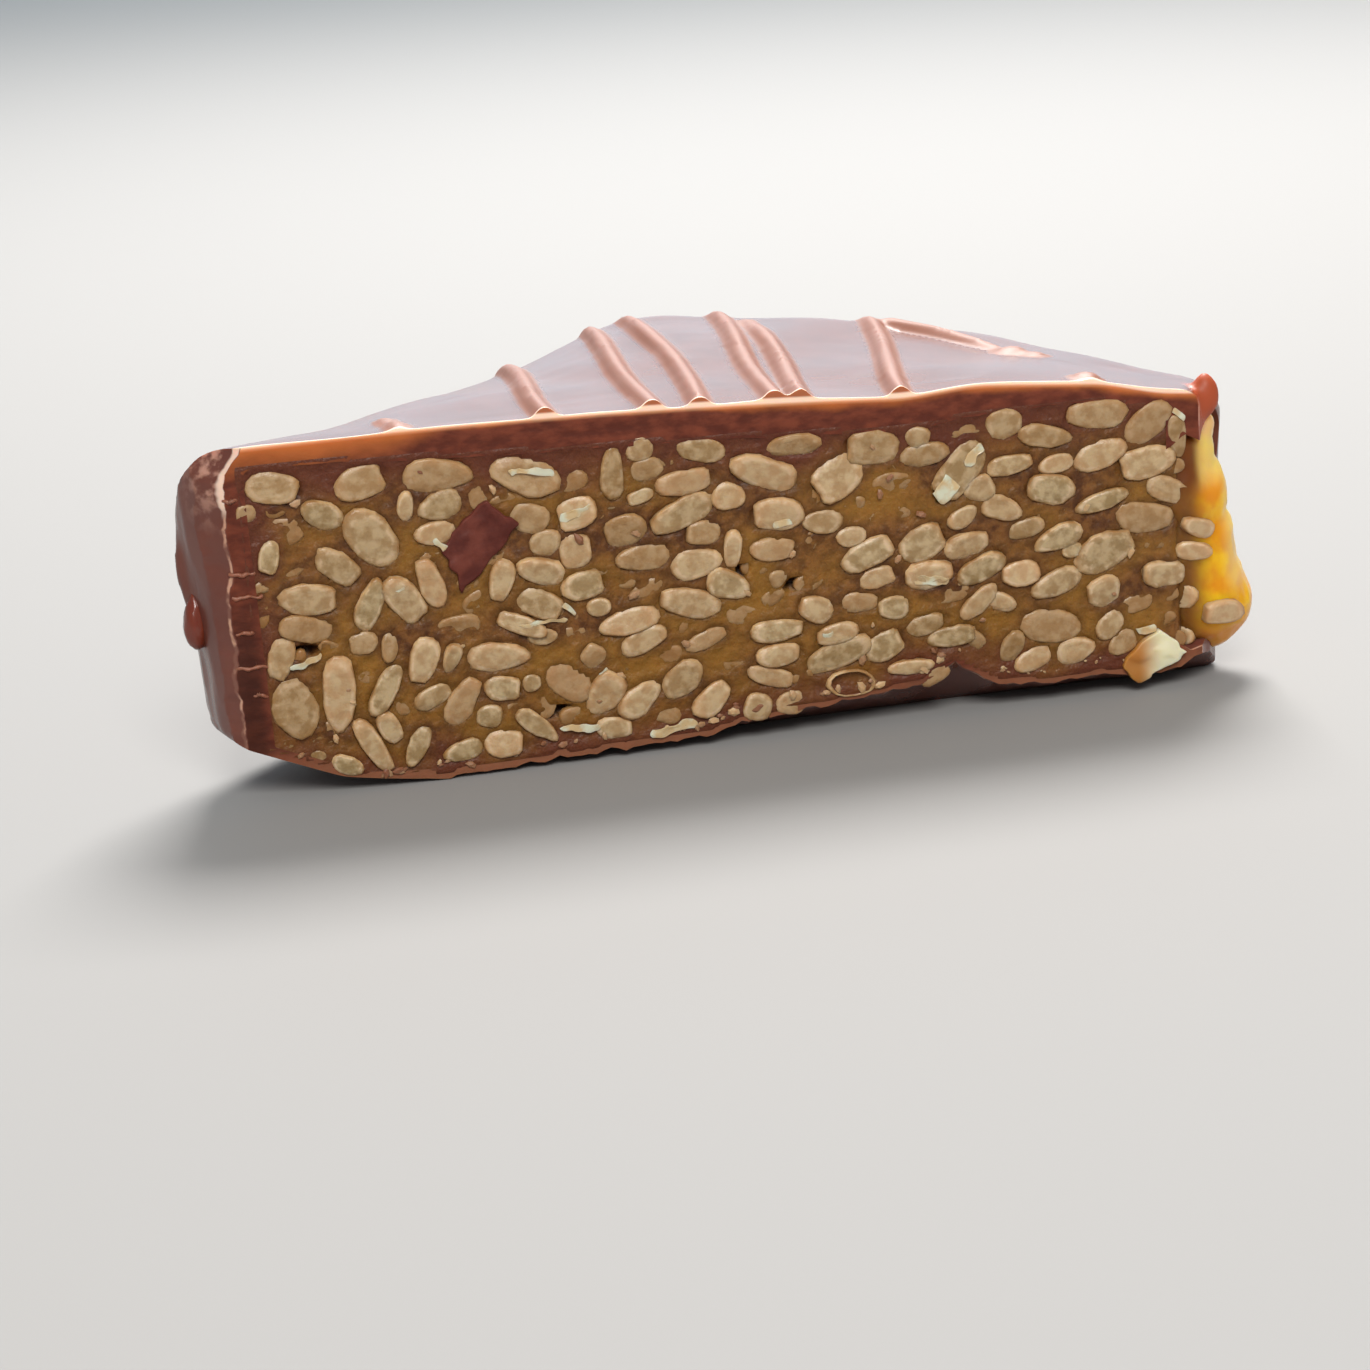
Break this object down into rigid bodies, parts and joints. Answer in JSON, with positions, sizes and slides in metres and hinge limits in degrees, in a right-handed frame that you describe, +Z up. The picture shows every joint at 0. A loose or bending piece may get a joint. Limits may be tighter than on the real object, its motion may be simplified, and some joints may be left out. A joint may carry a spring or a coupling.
{
  "type": "chocolate coated sesame snap",
  "caption": "Half of a chocolate coated sesame snap cut from corner to corner, with a drizzled top and a caramel filling packed with whole sesame seeds.",
  "frame": {"origin": "middle of the bounding box at the flat base", "axes": "+X along the cut to the right as seen from the cut side, +Y back from the cut face, +Z up"},
  "size_m": [0.0588, 0.0311, 0.0196],
  "materials": {
    "milk_chocolate": null,
    "sesame_caramel": null
  },
  "bodies": {
    "root": {"chocolate_coat": "milk_chocolate", "sesame_filling": "sesame_caramel"}
  },
  "joints": []
}
